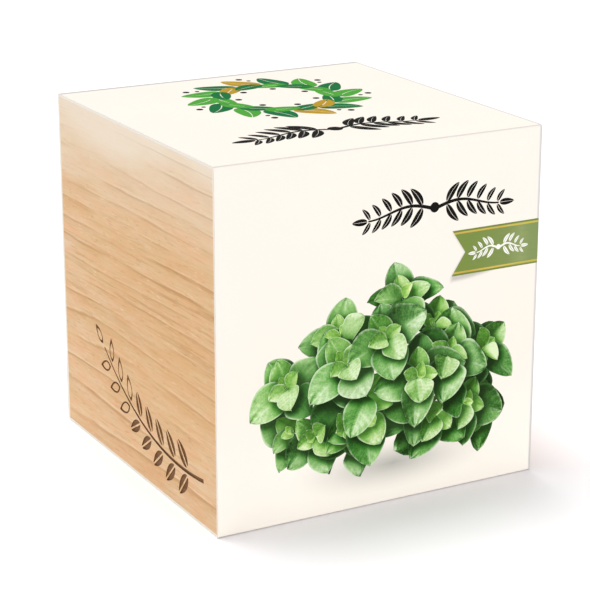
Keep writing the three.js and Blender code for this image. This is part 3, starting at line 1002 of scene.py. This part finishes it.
def wreath(black):
    """A round wreath of broad leaves in three inks, with dark berries, on the top panel."""
    for number, (name, ink_name, code, darker) in enumerate(WREATH_INKS):
        bm = start_piece()
        for k in range(WREATH_NODES):
            forwards = 2 * math.pi * k / WREATH_NODES + math.pi / 2
            for lean, length, layer, bend, inks in WREATH_LEAVES:
                if inks[k % len(inks)] == number:
                    flat_leaf(bm, TOP_PANEL, on_ring(k), forwards + lean, length, length * 0.27,
                              layer + 2 * (k % 2), bend, WREATH_RIB)
        if number == 0:
            ink_line(bm, TOP_PANEL, lambda t: on_ring(WREATH_NODES * t), 72, 0.55, 0.55, 1)
        finish_piece(name, bm, ink(ink_name, code, darker))
    bm = start_piece()
    for k in range(WREATH_NODES):
        for past, out, radius in WREATH_BERRIES[k % 2]:
            ink_dot(bm, TOP_PANEL, on_ring(k + past, WREATH_RING + out), radius, 7)
    finish_piece("print_wreath_berries", bm, black)


# ---- the card's cut edges

FOLD_OUTSIDE = 0.55  # mm, radius of the outside of each fold
EDGE_SWELL = 0.03  # mm that the cut edge stands out past the wood
EDGE_WIDTH = 0.62  # mm from the outside of the card to where its edge closes on the wood
EDGE_TUCK = 0.07  # mm that it turns in there, onto the wood's rounded edge


def cut_edge(name, side):
    """The card's cut edge round one bare side: a thin frame, pressed against the wood so that no gap
    shows."""
    bm = start_piece()
    made = bmesh.ops.create_grid(bm, x_segments=1, y_segments=1, size=0.5)["verts"]
    for v in made:
        y = FRONT if v.co.x < 0 else BACK
        z = 0.0 if v.co.y < 0 else TOP
        v.co = Vector((side * (HALF_WIDTH - SUNK * MM), y, z))
    bmesh.ops.bevel(bm, geom=made, affect="VERTICES", offset=FOLD_OUTSIDE * MM, segments=4, profile=0.5,
                    material=-1)
    opening = list(bm.faces)
    band = bmesh.ops.inset_region(bm, faces=opening, thickness=EDGE_WIDTH * MM, use_boundary=True,
                                  use_even_offset=True)["faces"]
    inner = {v for face in opening for v in face.verts}
    bmesh.ops.delete(bm, geom=opening, context="FACES_ONLY")
    raised = bmesh.ops.extrude_face_region(bm, geom=band)["geom"]
    for v in (g for g in raised if isinstance(g, bmesh.types.BMVert)):
        v.co.x += side * (SUNK + EDGE_SWELL) * MM
    for v in bm.verts:
        if any((v.co - corner.co).yz.length < 0.001 * MM for corner in inner):
            v.co.x -= side * EDGE_TUCK * MM
    finish_piece(name, bm, nodes["paper_sleeve"].data.materials[0])


# ---- the part

FINISHES = {"wood_block": planed_wood, "paper_sleeve": printed_card, "clay_granules": fired_clay,
            "seed_packet": kraft_paper}
for node_name, finish in FINISHES.items():
    mesh = nodes[node_name].data
    mesh.materials.clear()
    mesh.materials.append(finish())

cut_edge("card_edge_left", -1)
cut_edge("card_edge_right", 1)
soft_shade("print_ground_shade", FRONT_PANEL, low=(-23.0, 0.5), high=(29.0, 14.5), cells=(36, 14),
           amount=ground_shade)
herb_clump()
soft_shade("print_ribbon_shade", FRONT_PANEL, low=(RIBBON_LEFT - 1.5, RIBBON_LOW - 1.6),
           high=(RIBBON_LEFT + SHADE_LENGTH, RIBBON_HIGH + 0.2), cells=(40, 36),
           amount=ribbon_shade)
ribbon()
BLACK = ink("black_ink", "11110e", "1b1a16")
leafy_rule("print_front_rule", FRONT_PANEL, centre=(11.9, 61.8), half_length=19.0, leaf=4.7, pairs=6,
           material=BLACK)
leafy_rule("print_ribbon_sprig", FRONT_PANEL, centre=(27.6, 51.4), half_length=7.2, leaf=2.5, pairs=4,
           material=ink("white_ink", "fbfaf2", "f1f0e4"), layer=4, thick=0.45)
wreath(BLACK)
leafy_rule("print_top_rule", TOP_PANEL, centre=(-1.5, -21.0), half_length=24.0, leaf=7.0, pairs=6,
           material=BLACK, thick=1.0)


# ---- floor, light and camera

FLOOR_WHITE = (0.945, 0.925, 0.945, 1.0)
ROUND_LIGHT = 0.48  # strength of the light that comes from all round
# The lamps: where each shines from, how strongly, and how many degrees it is spread over
LAMPS = {"key": ((-0.08, 0.25, 0.965), 2.26, 32), "fill": ((-0.40, -0.91, 0.12), 2.07, 50)}

PICTURE_WIDTH = 590  # pixels
PICTURE_HEIGHT = 591
FOCAL_PIXELS = 2071.0  # the lens's focal length in those pixels
SENSOR = 36.0  # mm
CAMERA_PLACE = Vector((-205.7, -376.9, 170.0)) * MM
CAMERA_YAW = math.radians(28.724)  # how far it is turned from +Y towards +X
CAMERA_PITCH = math.radians(17.518)  # how far it looks down


def floor():
    bpy.ops.mesh.primitive_plane_add(size=8)
    plane = bpy.context.object
    plane.name = "floor"
    r = Recipe("studio_floor", 0.9, 0.0)
    r.colour(FLOOR_WHITE)
    plane.data.materials.append(r.material)


def soft_sun(name, direction, strength, spread):
    """Light from far away in this direction, spread over this many degrees."""
    light = bpy.data.lights.new(name, "SUN")
    light.energy = strength
    light.angle = math.radians(spread)
    lamp = bpy.data.objects.new(name, light)
    lamp.location = Vector(direction).normalized()
    lamp.rotation_euler = Vector(direction).to_track_quat("Z", "Y").to_euler()
    bpy.context.scene.collection.objects.link(lamp)


def studio():
    world = bpy.data.worlds.new("studio")
    world.use_nodes = True
    background = world.node_tree.nodes["Background"]
    background.inputs["Color"].default_value = (1, 1, 1, 1)
    background.inputs["Strength"].default_value = ROUND_LIGHT
    scene = bpy.context.scene
    scene.world = world
    scene.view_settings.view_transform = "Standard"
    scene.view_settings.look = "None"
    for name, settings in LAMPS.items():
        soft_sun(name, *settings)


def camera():
    data = bpy.data.cameras.new("camera")
    data.sensor_width = SENSOR
    data.lens = FOCAL_PIXELS / max(PICTURE_WIDTH, PICTURE_HEIGHT) * SENSOR
    body = bpy.data.objects.new("camera", data)
    body.location = CAMERA_PLACE
    forward = Vector((math.sin(CAMERA_YAW) * math.cos(CAMERA_PITCH),
                      math.cos(CAMERA_YAW) * math.cos(CAMERA_PITCH), -math.sin(CAMERA_PITCH)))
    body.rotation_euler = forward.to_track_quat("-Z", "Y").to_euler()
    bpy.context.scene.collection.objects.link(body)
    bpy.context.scene.camera = body


floor()
studio()
camera()
